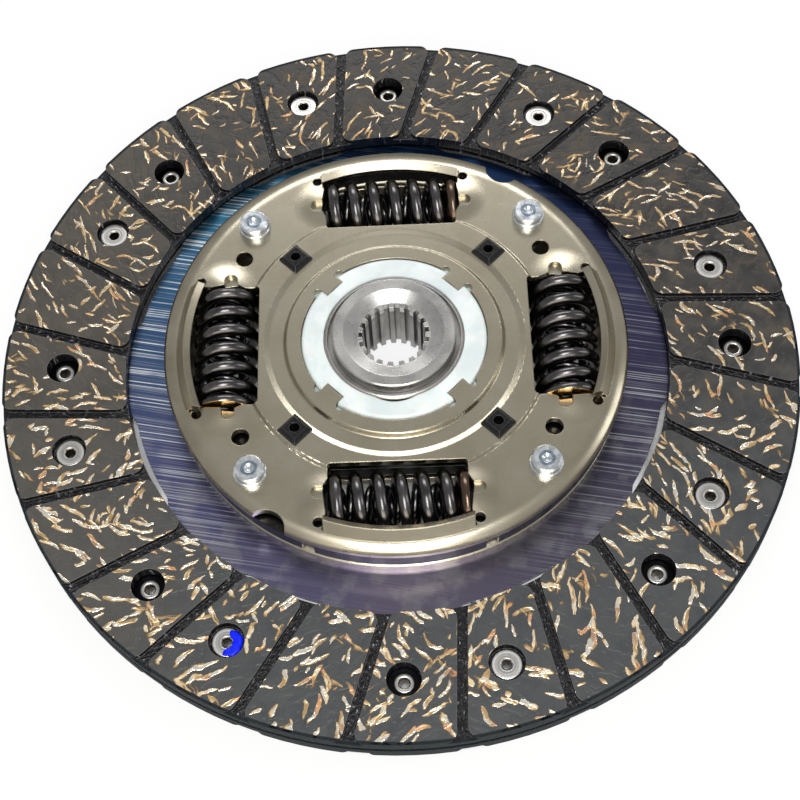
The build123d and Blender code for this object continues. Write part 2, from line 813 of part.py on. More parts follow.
with BuildPart() as pin_blank:
    with BuildSketch(Plane.XZ):
        pin_top = retainer_top + pin_collar_height + pin_groove_height + pin_head_height
        collar_top = retainer_top + pin_collar_height
        with BuildLine():
            Polyline(
                (0, cushion_bottom - pin_tail_height),
                (pin_tail_radius - pin_tail_chamfer, cushion_bottom - pin_tail_height),
                (pin_tail_radius, cushion_bottom - pin_tail_height + pin_tail_chamfer),
                (pin_tail_radius, cushion_bottom),
                (pin_neck_radius, cushion_bottom),
                (pin_neck_radius, disc_plate_top),
                (pin_body_radius, disc_plate_top),
                (pin_body_radius, retainer_bottom),
                (pin_neck_radius, retainer_bottom),
                (pin_neck_radius, retainer_top),
                (pin_collar_radius, retainer_top),
                (pin_collar_radius, collar_top - pin_collar_chamfer),
                (pin_collar_radius - pin_collar_chamfer, collar_top),
                (pin_head_radius - pin_groove_depth, collar_top),
                (pin_head_radius - pin_groove_depth, collar_top + pin_groove_height),
                (pin_head_radius, collar_top + pin_groove_height),
                (pin_head_radius, pin_top - pin_head_chamfer),
                (pin_head_radius - pin_head_chamfer, pin_top),
                (pin_punch_radius, pin_top),
                (pin_punch_radius - pin_punch_slope, pin_top - pin_punch_depth),
                (0, pin_top - pin_punch_depth),
                close=True,
            )
        make_face()
    revolve(axis=Axis.Z)

stop_pins = {}
for number in range(window_count):
    with BuildPart() as stop_pin:
        with around(pin_circle_radius, [pin_azimuth + number * window_pitch]):
            add(pin_blank.part)
    stop_pins[f"stop_pin_{number + 1}"] = stop_pin

# Rivets that hold the cushion disc to the disc plate, under the round holes of the retainer plate
with BuildPart() as carrier_rivet:
    with BuildSketch(Plane.XZ):
        Polygon(
            (0, cushion_bottom - carrier_tail_height),
            (carrier_head_radius, cushion_bottom - carrier_tail_height),
            (carrier_head_radius, cushion_bottom),
            (carrier_rivet_radius, cushion_bottom),
            (carrier_rivet_radius, disc_plate_top),
            (carrier_head_radius, disc_plate_top),
            (carrier_head_radius, disc_plate_top + carrier_head_height),
            (0, disc_plate_top + carrier_head_height),
            align=None,
        )
    revolve(axis=Axis.Z)
with BuildPart() as carrier_rivets:
    with around(carrier_rivet_circle, carrier_azimuths):
        add(carrier_rivet.part)

# ---------------------------------------------------------------- friction parts

with BuildPart() as friction_ring:
    ring_bottom = flange_top + friction_gap
    peg_foot_width = peg_width + 2 * peg_foot_margin
    with BuildSketch(Plane.XY.offset(ring_bottom)):
        Circle(friction_ring_outer)
        with PolarLocations(peg_circle_radius, window_count, pin_azimuth):
            RectangleRounded(peg_foot_width, peg_foot_width, peg_foot_margin)
        Circle(friction_ring_inner, mode=Mode.SUBTRACT)
    extrude(amount=friction_ring_thickness)
    with BuildSketch(Plane.XY.offset(ring_bottom)):
        with PolarLocations(peg_circle_radius, window_count, pin_azimuth):
            Rectangle(peg_width, peg_width)
    extrude(amount=step_z + peg_height_above_plate - ring_bottom)
    chamfer(friction_ring.faces().sort_by(Axis.Z).group_by(Axis.Z)[-1].edges(), peg_top_bevel)
    with BuildSketch(Plane.XY.offset(ring_bottom)):
        with PolarLocations(peg_circle_radius, window_count, pin_azimuth):
            Circle(peg_hole_radius)
    extrude(amount=step_z + peg_height_above_plate - ring_bottom, mode=Mode.SUBTRACT)

with BuildPart() as preload_spring:
    with BuildSketch(Plane.XZ):
        low_z = ring_bottom + friction_ring_thickness
        high_z = band_z - plate_sheet
        Polygon(
            (preload_outer, low_z),
            (preload_outer, low_z + preload_sheet),
            (preload_inner, high_z),
            (preload_inner, high_z - preload_sheet),
            align=None,
        )
    revolve(axis=Axis.Z)

with BuildPart() as front_bush:
    sleeve_bottom = flange_top + friction_gap
    with BuildSketch(Plane.XY.offset(sleeve_bottom)):
        Circle(bush_flange_radius)
    extrude(amount=ring_z - plate_sheet - sleeve_bottom)
    with BuildSketch(Plane.XY.offset(sleeve_bottom)):
        Circle(bush_sleeve_radius)
    extrude(amount=ring_z + bush_stand_proud - sleeve_bottom)
    fillet(front_bush.faces().sort_by(Axis.Z)[-1].edges(), bush_edge_radius)
    with BuildSketch(Plane.XY.offset(sleeve_bottom)):
        Circle(bush_bore_radius)
        with Locations((0, -bush_relief_centre)):
            Circle(bush_relief_radius)
    extrude(amount=ring_z + cut_margin - sleeve_bottom, mode=Mode.SUBTRACT)
    with BuildSketch(Plane.XY.offset(ring_z - plate_sheet)):
        with PolarLocations((bush_flange_radius + lug_tip_radius) / 2, window_count, pin_azimuth):
            Rectangle(
                bush_flange_radius - lug_tip_radius + 2 * bush_flange_clearance,
                lug_width + 2 * bush_lug_clearance,
            )
    extrude(amount=plate_sheet + cut_margin, mode=Mode.SUBTRACT)

with BuildPart() as rear_bush:
    with BuildSketch(Plane.XY.offset(disc_plate_top)):
        Circle(rear_bush_flange_radius)
    extrude(amount=flange_bottom - friction_gap - disc_plate_top)
    with BuildSketch(Plane.XY.offset(cushion_top - rear_bush_drop)):
        Circle(rear_bush_sleeve_radius)
    extrude(amount=disc_plate_sheet + rear_bush_drop)
    with BuildSketch(Plane.XY.offset(cushion_top - rear_bush_drop)):
        Circle(bush_bore_radius)
    extrude(amount=flange_bottom - cushion_top + rear_bush_drop, mode=Mode.SUBTRACT)

with BuildPart() as friction_washer:
    with BuildSketch(Plane.XY.offset(disc_plate_top)):
        Circle(rear_washer_outer)
        Circle(rear_washer_inner, mode=Mode.SUBTRACT)
    extrude(amount=flange_bottom - friction_gap - disc_plate_top)

# ---------------------------------------------------------------- export

pieces = {
    "front_facing": front_facing,
    "rear_facing": rear_facing,
    "cushion_disc": cushion_disc,
    "front_rivets": front_rivets,
    "rear_rivets": rear_rivets,
    "retainer_plate": retainer_plate,
    "disc_plate": disc_plate,
    "hub": hub,
    "hub_flange": hub_flange,
    "carrier_rivets": carrier_rivets,
    "friction_ring": friction_ring,
    "preload_spring": preload_spring,
    "front_bush": front_bush,
    "rear_bush": rear_bush,
    "friction_washer": friction_washer,
    **springs,
    **stop_pins,
}
for name, piece in pieces.items():
    piece.part.label = name
    export_step(piece.part, f"parts/{name}.step")
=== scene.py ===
from math import cos, hypot, pi, radians, sin

import bmesh
import bpy
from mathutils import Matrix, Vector


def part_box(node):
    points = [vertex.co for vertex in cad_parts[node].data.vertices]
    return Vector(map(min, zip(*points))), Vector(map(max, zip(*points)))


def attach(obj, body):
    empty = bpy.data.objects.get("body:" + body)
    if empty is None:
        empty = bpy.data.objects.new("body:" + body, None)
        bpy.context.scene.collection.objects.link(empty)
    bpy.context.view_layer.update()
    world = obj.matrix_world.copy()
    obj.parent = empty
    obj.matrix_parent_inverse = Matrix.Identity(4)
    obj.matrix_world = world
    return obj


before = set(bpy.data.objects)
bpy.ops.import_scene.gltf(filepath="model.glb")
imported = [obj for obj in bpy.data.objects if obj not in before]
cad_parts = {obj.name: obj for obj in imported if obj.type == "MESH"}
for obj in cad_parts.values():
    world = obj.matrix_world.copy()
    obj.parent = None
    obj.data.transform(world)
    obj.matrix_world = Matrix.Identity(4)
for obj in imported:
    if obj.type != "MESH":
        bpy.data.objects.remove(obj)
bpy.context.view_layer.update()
SCENE = bpy.context.scene
MM = 0.001

# ---------------------------------------------------------------- the shapes that the looks depend on, in mm

FRONT_FACE_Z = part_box("front_facing")[1][2] / MM
FACING_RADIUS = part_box("front_facing")[1][0] / MM
PAD_SKIN = 0.12
GROOVE_AZIMUTH = 9.05
GROOVE_SLANT = 11.5
RING_EDGE = 67.1
RETAINER_RADIUS = 57.5
RETAINER_RIM = 4.5
RIVET_CIRCLE = 84.75
RIVET_COUNT = 8
RIVET_AZIMUTHS = {"front": 16.15, "rear": 0.0}
RIVET_BORE = 1.2
RIVET_HEAD = 3.6
RIVET_TOP_Z = FRONT_FACE_Z - 1.5
PIN_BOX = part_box("stop_pin_1")
PIN_CIRCLE = hypot(PIN_BOX[0][0] + PIN_BOX[1][0], PIN_BOX[0][1] + PIN_BOX[1][1]) / 2 / MM
PIN_COUNT = 4
PIN_AZIMUTH = 45.0
HUB_FRONT_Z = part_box("hub")[1][2] / MM
SPRING_HALF_LENGTH = 16.7

# ---------------------------------------------------------------- how materials are written


class Recipe:
    """A procedural material being written. Places are millimetres in the object's own frame."""

    def __init__(self, name, **sockets):
        self.material = bpy.data.materials.new(name)
        self.material.use_nodes = True
        self.nodes = self.material.node_tree.nodes
        self.links = self.material.node_tree.links
        self.shader = self.nodes["Principled BSDF"]
        for socket, value in sockets.items():
            self.shader.inputs[socket.replace("_", " ")].default_value = value
        self.place = self.scaled(self.add("ShaderNodeTexCoord").outputs["Object"], 1 / MM)
        self.x, self.y, self.z = self.split(self.place)

    def add(self, kind, **settings):
        node = self.nodes.new(kind)
        for name, value in settings.items():
            setattr(node, name, value)
        return node

    def feed(self, socket, value):
        if isinstance(value, bpy.types.NodeSocket):
            self.links.new(value, socket)
        else:
            socket.default_value = value

    # numbers

    def math(self, operation, a, b=0.0):
        node = self.add("ShaderNodeMath", operation=operation)
        self.feed(node.inputs[0], a)
        self.feed(node.inputs[1], b)
        return node.outputs[0]

    def chain(self, operation, first, *others):
        result = first
        for other in others:
            result = self.math(operation, result, other)
        return result

    def plus(self, *values):
        return self.chain("ADD", *values)

    def times(self, *values):
        return self.chain("MULTIPLY", *values)

    def most(self, *values):
        return self.chain("MAXIMUM", *values)

    def less(self, a, b):
        return self.math("SUBTRACT", a, b)

    def over(self, a, b):
        return self.math("DIVIDE", a, b)

    def size_of(self, value):
        """The value without its sign."""
        return self.math("ABSOLUTE", value)

    def blend(self, share, a, b):
        """A number between a and b."""
        node = self.add("ShaderNodeMix", data_type="FLOAT")
        for socket, value in zip((node.inputs["Factor"], node.inputs[2], node.inputs[3]), (share, a, b)):
            self.feed(socket, value)
        return node.outputs[0]

    def window(self, value, low, high, to_low=0.0, to_high=1.0):
        """A smooth step of a value from one level to another."""
        node = self.add("ShaderNodeMapRange", interpolation_type="SMOOTHSTEP")
        for socket, number in zip(node.inputs, (value, low, high, to_low, to_high)):
            self.feed(socket, number)
        return node.outputs[0]

    # vectors and places

    def vector(self, operation, a, b, output=0):
        node = self.add("ShaderNodeVectorMath", operation=operation)
        self.feed(node.inputs[0], a)
        self.feed(node.inputs[1], b)
        return node.outputs[output]

    def scaled(self, vector, factor):
        node = self.add("ShaderNodeVectorMath", operation="SCALE")
        self.feed(node.inputs[0], vector)
        self.feed(node.inputs["Scale"], factor)
        return node.outputs[0]

    def shift(self, offset, place=None):
        """A place, or a normal, moved by an offset."""
        return self.vector("ADD", place or self.place, offset)

    def stretch(self, factors, place=None):
        return self.vector("MULTIPLY", place or self.place, factors)

    def turn(self, angle, place=None):
        node = self.add("ShaderNodeVectorRotate", rotation_type="Z_AXIS")
        self.feed(node.inputs["Vector"], place or self.place)
        self.feed(node.inputs["Angle"], angle)
        return node.outputs[0]

    def split(self, vector):
        node = self.add("ShaderNodeSeparateXYZ")
        self.feed(node.inputs[0], vector)
        return node.outputs

    def joined(self, x, y, z=0.0):
        node = self.add("ShaderNodeCombineXYZ")
        for socket, value in zip(node.inputs, (x, y, z)):
            self.feed(socket, value)
        return node.outputs[0]

    def radius(self):
        node = self.add("ShaderNodeVectorMath", operation="LENGTH")
        self.feed(node.inputs[0], self.stretch((1, 1, 0)))
        return node.outputs["Value"]

    def azimuth(self):
        """The azimuth as a share of a full turn, from 0 to 1, starting at +X."""
        angle = self.math("ARCTAN2", self.y, self.x)
        return self.math("FRACT", self.plus(self.over(angle, 2 * pi), 1.0))

    def unrolled(self):
        """A flat place on a facing: x runs round the rivet circle, slanted as the grooves are, y outwards."""
        reach = RIVET_CIRCLE * sin(radians(GROOVE_SLANT))
        slant = self.math("ARCSINE", self.over(reach, self.radius()))
        turned = self.less(self.azimuth(), self.over(slant, 2 * pi))
        start = (GROOVE_AZIMUTH - GROOVE_SLANT) / 360
        lap = self.math("FRACT", self.plus(turned, 1 - start))
        return self.joined(self.times(lap, 2 * pi * RIVET_CIRCLE), self.radius())

    def from_nearest(self, circle, count, first):
        """The distance, seen along Z, to the nearest of a ring of places; first is the azimuth of one."""
        share = self.times(self.less(self.azimuth(), first / 360), count)
        turn = self.times(self.less(share, self.math("ROUND", share)), 2 * pi / count)
        out = self.less(self.times(self.radius(), self.math("COSINE", turn)), circle)
        side = self.times(self.radius(), self.math("SINE", turn))
        return self.math("SQRT", self.plus(self.math("POWER", out, 2.0), self.math("POWER", side, 2.0)))

    # patterns

    def noise(self, size, detail=2.0, place=None, output="Fac"):
        """Noise with lumps about as large as size, in mm."""
        node = self.add("ShaderNodeTexNoise")
        self.feed(node.inputs["Vector"], place or self.place)
        node.inputs["Scale"].default_value = 1 / size
        node.inputs["Detail"].default_value = detail
        return node.outputs[output]

    def streaks(self, place, angle, length, width, low, high):
        """Long ragged flecks lying at an angle."""
        lying = self.stretch((1 / length, 1 / width, 1), self.turn(angle, place))
        return self.window(self.noise(1.0, 1.0, lying), low, high)

    def scores(self, angle, spacing, faintest):
        """Crisp straight lines at an angle, each with its own strength; those under faintest don't show."""
        lying = self.turn(angle)
        sway = self.noise(6, 1, self.stretch((0.1, 1, 1), lying))
        across = self.plus(self.over(self.split(lying)[1], spacing), self.times(sway, 5.0))
        chance = self.add("ShaderNodeTexWhiteNoise", noise_dimensions="1D")
        self.feed(chance.inputs["W"], self.math("FLOOR", across))
        strength = self.window(chance.outputs["Value"], faintest, faintest + 0.3)
        off_middle = self.size_of(self.less(self.math("FRACT", across), 0.5))
        return self.times(strength, self.window(off_middle, 0.48, 0.25))

    # colours and normals

    def ramp(self, share, *stops):
        """A colour ramp through (position, colour) stops."""
        node = self.add("ShaderNodeValToRGB")
        elements = node.color_ramp.elements
        while len(elements) < len(stops):
            elements.new(0.5)
        for element, (position, colour) in zip(elements, stops):
            element.position = position
            element.color = (*colour, 1)
        self.feed(node.inputs[0], share)
        return node.outputs[0]

    def mix(self, share, a, b):
        node = self.add("ShaderNodeMix", data_type="RGBA")
        self.feed(node.inputs["Factor"], share)
        for socket, colour in ((node.inputs[6], a), (node.inputs[7], b)):
            self.feed(socket, colour if isinstance(colour, bpy.types.NodeSocket) else (*colour, 1))
        return node.outputs[2]

    def rounded(self, radius):
        """The surface's normal as if its edges were rounded."""
        node = self.add("ShaderNodeBevel", samples=4)
        node.inputs["Radius"].default_value = radius * MM
        return node.outputs[0]

    def edge(self, rounded):
        """1 along sharp edges and 0 elsewhere, from a rounded normal."""
        flat = self.add("ShaderNodeNewGeometry").outputs["Normal"]
        return self.window(self.vector("DOT_PRODUCT", rounded, flat, "Value"), 0.995, 0.9)

    def bump(self, height, depth, normal=None):
        """A bumped normal; depth is how far a height of 1 stands out, in mm."""
        node = self.add("ShaderNodeBump")
        node.inputs["Strength"].default_value = 1.0
        node.inputs["Distance"].default_value = depth * MM
        self.feed(node.inputs["Height"], height)
        if normal:
            self.feed(node.inputs["Normal"], normal)
        return node.outputs[0]

    def finish(self, **sockets):
        for socket, value in sockets.items():
            self.feed(self.shader.inputs[socket.replace("_", " ")], value)
        return self.material


# ---------------------------------------------------------------- friction lining

# The yarn's two ways across the unrolled ring, each with the seed of its first layer
YARN_WAYS = ((1, radians(52)), (6, radians(-48)))
# Its layers: a cell holds one fibre, and spread is how far fibres stray from the way, in radians
LONG_YARN = {"cell": 6.2, "half_length": 4.4, "spread": 0.4}
MIDDLING_YARN = {"cell": 5.6, "half_length": 3.4, "spread": 0.5}
SHORT_YARN = {"cell": 4.0, "half_length": 1.6, "spread": 1.4}
SHORT_YARN_KEPT = 0.42
SHORT_YARN_SLIMNESS = 0.7
# The plies seen along a fibre, how much it bends, and how far whole patches turn from the way, in radians
PLY_LENGTH = 3.2
PLY_WIDTH = 0.7
FIBRE_BEND = 0.16
PATCH_DRIFT = 3.0
# Noise that moves the yarn: the size of its lumps and its reach in mm
YARN_SWAY = {"size": 11, "detail": 1, "reach": 3.0}
YARN_RAGGEDNESS = {"size": 1.6, "detail": 2, "reach": 1.1}


def strands(r, place, lie, half_width, keep, seed, cell, half_length, spread):
    """Curved fibres, one to a cell where keep allows, lying about one way: how much of one a point is."""
    moved = r.shift((seed * 13.7, seed * 7.3, 0), place)
    cells = r.add("ShaderNodeTexVoronoi", voronoi_dimensions="2D")
    r.feed(cells.inputs["Vector"], moved)
    cells.inputs["Scale"].default_value = 1 / cell
    chance = r.add("ShaderNodeSeparateColor")
    r.feed(chance.inputs[0], cells.outputs["Color"])
    red, green, blue = chance.outputs

    drift = r.less(r.noise(22, 0, r.shift((seed * 31.0, 5.0, 0))), 0.5)
    angle = r.plus(lie, r.times(drift, PATCH_DRIFT), r.times(r.less(red, 0.5), spread))
    along, across, _ = r.split(r.turn(angle, r.vector("SUBTRACT", moved, cells.outputs["Position"])))
    bend = r.times(along, along, r.less(green, 0.5))
    across = r.plus(across, r.times(bend, FIBRE_BEND))

    plies = r.joined(r.over(along, PLY_LENGTH), r.over(across, PLY_WIDTH), r.times(red, 40.0))
    # Painted highlight: the plies' shine lifts the value that the brass ramp turns near white.
    shine = r.window(r.noise(1.0, 0, plies), 0.36, 0.60, 0.3, 1.0)
    reach = r.over(along, r.times(r.plus(green, 0.5), half_length))
    reach = r.math("POWER", r.size_of(reach), 2.0)
    side = r.math("POWER", r.over(across, half_width), 2.0)
    body = r.less(r.less(1.0, reach), side)
    return r.times(r.window(body, 0.0, 0.6), shine, r.math("LESS_THAN", blue, keep))


def warped(r, place, size, detail, reach):
    """A place moved by noise."""
    return r.shift(r.scaled(r.noise(size, detail, output="Color"), reach), place)


def yarn_in(r, place):
    """Yarn wound in lobes, so that it crosses the ring both ways; there is more, and thicker, towards -Y."""
    half_width = r.window(r.y, -70, 50, 0.64, 0.46)
    kept = r.window(r.y, -50, 40, 0.66, 0.44)
    slim = r.times(half_width, SHORT_YARN_SLIMNESS)
    ways = []
    for seed, lie in YARN_WAYS:
        long = strands(r, place, lie, half_width, kept, seed, **LONG_YARN)
        middling = strands(r, place, lie, half_width, kept, seed + 1, **MIDDLING_YARN)
        short = strands(r, place, lie, slim, SHORT_YARN_KEPT, seed + 2, **SHORT_YARN)
        ways.append(r.most(middling, r.most(long, short)))
    return r.blend(r.window(r.noise(17, 0), 0.44, 0.54), *ways)


def furrows_in(r, place):
    """Shallow creases along both ways of the yarn."""
    one_way = r.streaks(place, radians(50), 7.0, 2.0, 0.50, 0.66)
    other_way = r.streaks(place, radians(-46), 6.0, 1.8, 0.53, 0.68)
    return r.most(one_way, other_way)


def resin(r, mottle, furrow):
    """Dark resin: brown in the furrows and towards -X, and bluish grey towards -Y as a painted sheen."""
    colour = r.ramp(
        mottle,
        (0.3, (0.018, 0.018, 0.018)),
        (0.55, (0.036, 0.035, 0.033)),
        (0.8, (0.066, 0.060, 0.052)),
    )
    brown = r.mix(r.window(r.y, -70, 50), (0.050, 0.040, 0.030), (0.075, 0.052, 0.028))
    colour = r.mix(r.times(furrow, r.window(mottle, 0.35, 0.65, 0.05, 0.6)), colour, brown)
    # Painted reflection: a bluish grey sheen towards -Y.
    painted_sheen = r.mix(0.7, colour, (0.060, 0.067, 0.072))
    colour = r.mix(r.window(r.y, 20, -60), colour, painted_sheen)
    return r.mix(r.window(r.x, -30, -85, 0.0, 0.6), colour, (0.082, 0.074, 0.062))


def brass(r, yarn):
    """Brass yarn: brown at a fibre's edge as painted shade, near white where it shines as a painted
    highlight, coppery here and there, darker and browner at +Y.
    """
    # The ramp paints shade at a fibre's edge and a highlight near white where the plies shine.
    colour = r.ramp(
        yarn,
        (0.10, (0.09, 0.062, 0.035)),
        (0.36, (0.46, 0.31, 0.15)),
        (0.62, (0.86, 0.68, 0.42)),
        (0.92, (1.0, 0.95, 0.84)),
    )
    coppery = r.window(r.noise(4.5, 1, r.shift((40.0, 0, 0))), 0.60, 0.66, 0.0, 0.7)
    colour = r.mix(coppery, colour, (0.62, 0.30, 0.14))
    return r.mix(r.window(r.y, -40, 50, 0.0, 0.4), colour, (0.42, 0.27, 0.12))


def lining():
    """Resin with flattened brass yarn in the pads' faces, folded glass cloth with painted glints in the
    grooves, a painted highlight along the edges, and rims painted dark as painted shade.
    """
    r = Recipe("friction_lining", IOR=1.5, Specular_IOR_Level=0.35)
    ragged = warped(r, warped(r, r.unrolled(), **YARN_SWAY), **YARN_RAGGEDNESS)
    yarn = yarn_in(r, ragged)
    furrow = furrows_in(r, ragged)
    mottle = r.noise(5, 4)
    face = r.mix(r.window(yarn, 0.02, 0.25), resin(r, mottle, furrow), brass(r, yarn))

    folds = r.noise(1.0, 3, r.stretch((1.4, 0.8, 1), ragged))
    # The pale top stop paints glints on the folds: a painted highlight.
    cloth = r.ramp(
        folds,
        (0.40, (0.003, 0.003, 0.004)),
        (0.63, (0.012, 0.012, 0.015)),
        (0.73, (0.34, 0.34, 0.37)),
    )

    middle = FRONT_FACE_Z / 2
    pad = r.window(r.size_of(r.less(r.z, middle)), middle - PAD_SKIN, middle)
    shaded_wall = r.window(r.radius(), FACING_RADIUS - 0.9, FACING_RADIUS - 0.6)
    rounded = r.rounded(0.3)
    colour = r.mix(pad, cloth, face)
    # Painted highlight: pale colour along the facing's edges.
    colour = r.mix(r.times(r.edge(rounded), 0.55), colour, (0.22, 0.21, 0.20))
    # Painted shade: the outer wall nearly black.
    colour = r.mix(shaded_wall, colour, r.mix(folds, (0.001, 0.003, 0.005), (0.006, 0.013, 0.018)))

    relief = r.plus(r.times(yarn, 0.6), r.times(furrow, -0.5), r.times(r.noise(2.0, 3), 0.3))
    face_roughness = r.blend(yarn, r.window(mottle, 0.3, 0.7, 0.34, 0.5), 0.22)
    return r.finish(
        Base_Color=colour,
        Metallic=r.times(yarn, r.times(pad, 0.9)),
        Roughness=r.blend(shaded_wall, r.blend(pad, 0.33, face_roughness), 0.75),
        Normal=r.bump(r.blend(pad, r.times(folds, 3.0), relief), 0.16, rounded),
    )


# ---------------------------------------------------------------- metals

# Lines ground across the cushion disc: their angle and how far apart they are, in mm
COARSE_LINES = (radians(11), 0.38)
FINE_LINES = (radians(12), 0.26)
# The strength, from 0 to 1, from which a line shows
FAINTEST_LINE = 0.6
# Tempering colours of the cushion disc, by the azimuth as a share of a turn
TEMPER = (
    (0.0, (0.060, 0.055, 0.115)),
    (0.14, (0.010, 0.022, 0.062)),
    (0.26, (0.006, 0.028, 0.075)),
    (0.37, (0.030, 0.145, 0.240)),
    (0.48, (0.060, 0.125, 0.260)),
    (0.60, (0.140, 0.135, 0.290)),
    (0.75, (0.190, 0.165, 0.240)),
    (0.88, (0.130, 0.120, 0.170)),
    (1.0, (0.060, 0.055, 0.115)),
)


def grinding(r):
    """Lines ground straight across the disc, wiped in patches, and faint near the Y axis and towards +X."""
    fine = r.times(r.scores(*FINE_LINES, FAINTEST_LINE), 0.3)
    lines = r.most(r.scores(*COARSE_LINES, FAINTEST_LINE), fine)
    wiped = r.window(r.noise(9, 3), 0.3, 0.55, 0.35, 1.0)
    near_axis = r.window(r.size_of(r.x), 22, 48, 0.12, 1.0)
    near_camera = r.window(r.y, -50, -5, 0.5, 1.0)
    right = r.blend(r.window(r.x, 0, 20), 1.0, r.window(r.y, 30, -15, 0.05, 0.6))
    return r.times(lines, r.times(near_axis, wiped, near_camera, right))


def blued_steel():
    """Spring sheet tempered from teal to purple, with grinding lines across it, paler patches towards -Y,
    painted shade under the facings and a painted highlight along its edges.
    """
    r = Recipe("blued_spring_steel", Metallic=1.0)
    wander = r.times(r.less(r.noise(30, 2), 0.5), 0.12)
    temper = r.ramp(r.math("FRACT", r.plus(r.azimuth(), wander)), *TEMPER)
    ground = grinding(r)
    # Paler grey in patches towards -Y.
    pale_patches = r.times(r.window(r.noise(6, 6), 0.45, 0.62), r.window(r.y, 10, -60))
    shade_under_facing = r.window(r.radius(), RING_EDGE + 0.8, RING_EDGE + 1.6)
    rounded = r.rounded(0.15)
    colour = r.mix(r.times(pale_patches, 0.45), temper, (0.36, 0.35, 0.38))
    colour = r.mix(r.times(ground, 0.9), colour, (0.84, 0.88, 0.90))
    # Painted shade: the sheet near black beyond the ring's edge, under the facings.
    colour = r.mix(shade_under_facing, colour, (0.012, 0.012, 0.014))
    # Painted highlight: pale colour along the sheet's edges.
    colour = r.mix(r.edge(rounded), colour, (0.80, 0.80, 0.85))
    return r.finish(
        Base_Color=colour,
        Roughness=r.blend(ground, 0.3, 0.42),
        Normal=r.bump(r.noise(3, 3), 0.012, rounded),
    )


def plated(name, pale, deep, rim=None):
    """Satin plating over pressed sheet, finely speckled; a rim of that width leans outwards as if rolled."""
    r = Recipe(name, Metallic=1.0)
    normal = r.rounded(0.35)
    if rim:
        outwards = r.stretch((1 / RETAINER_RADIUS, 1 / RETAINER_RADIUS, 0))
        lean = r.window(r.radius(), RETAINER_RADIUS - rim, RETAINER_RADIUS, 0.0, 0.6)
        normal = r.shift(r.scaled(outwards, lean), normal)
    cloud = r.noise(14, 4)
    grain = r.noise(0.3, 2)
    colour = r.ramp(cloud, (0.35, deep), (0.62, pale))
    colour = r.mix(r.window(grain, 0.6, 0.75, 0.0, 0.22), colour, (0.80, 0.76, 0.66))
    colour = r.mix(r.window(r.noise(0.8, 3), 0.62, 0.72, 0.0, 0.35), colour, deep)
    return r.finish(
        Base_Color=colour,
        Roughness=r.window(cloud, 0.3, 0.7, 0.30, 0.24),
        Normal=r.bump(r.plus(r.times(grain, 0.3), r.noise(6, 1)), 0.02, normal),
    )


def sintered():
    """Grey hub steel with fine pores, its front end turned bright."""
    r = Recipe("hub_steel", Metallic=1.0)
    pores = r.noise(0.4, 3)
    cloud = r.noise(7, 3)
    front = r.window(r.z, HUB_FRONT_Z - 3.4, HUB_FRONT_Z - 3.0)
    colour = r.ramp(cloud, (0.35, (0.20, 0.195, 0.185)), (0.65, (0.36, 0.35, 0.335)))
    colour = r.mix(r.times(front, 0.75), colour, (0.66, 0.65, 0.63))
    colour = r.mix(r.window(pores, 0.58, 0.7, 0.0, 0.4), colour, (0.12, 0.115, 0.11))
    return r.finish(
        Base_Color=colour,
        Roughness=r.blend(front, 0.42, r.window(cloud, 0.3, 0.7, 0.24, 0.36)),
        Normal=r.bump(pores, 0.012, r.rounded(0.25)),
    )


def spring_wire(name, paler_end):
    """Oiled dark spring wire; one end is paler, either its ground face or its last coil."""
    r = Recipe(name, Metallic=1.0)
    patina = r.noise(2.5, 3)
    colour = r.ramp(patina, (0.3, (0.085, 0.082, 0.085)), (0.7, (0.150, 0.142, 0.140)))
    if paler_end == "face":
        bare = r.window(r.y, -SPRING_HALF_LENGTH + 0.1, -SPRING_HALF_LENGTH + 0.02)
        golden = r.ramp(r.noise(0.5, 3), (0.35, (0.40, 0.20, 0.05)), (0.6, (0.95, 0.68, 0.30)))
        colour = r.mix(bare, colour, golden)
    else:
        last_coil = r.window(r.x, SPRING_HALF_LENGTH - 2.8, SPRING_HALF_LENGTH - 2.2)
        colour = r.mix(r.times(last_coil, 0.8), colour, (0.14, 0.09, 0.06))
    return r.finish(
        Base_Color=colour,
        Roughness=r.window(patina, 0.3, 0.7, 0.20, 0.27),
        Normal=r.bump(r.noise(0.35, 2), 0.012),
    )


def zinc():
    """Bright bluish zinc on the riveted stop pins, bluest in the punched ring."""
    r = Recipe("pin_steel", Metallic=1.0)
    cloud = r.noise(1.6, 2)
    colour = r.ramp(cloud, (0.35, (0.66, 0.71, 0.76)), (0.65, (0.90, 0.93, 0.95)))
    out = r.plus(r.from_nearest(PIN_CIRCLE, PIN_COUNT, PIN_AZIMUTH), r.times(cloud, 0.5))
    ring = r.times(r.window(out, 1.35, 1.6), r.window(out, 2.4, 2.1))
    return r.finish(
        Base_Color=r.mix(r.times(ring, 0.75), colour, (0.16, 0.25, 0.36)),
        Roughness=r.window(cloud, 0.3, 0.7, 0.2, 0.3),
        Normal=r.bump(cloud, 0.03, r.rounded(0.25)),
    )


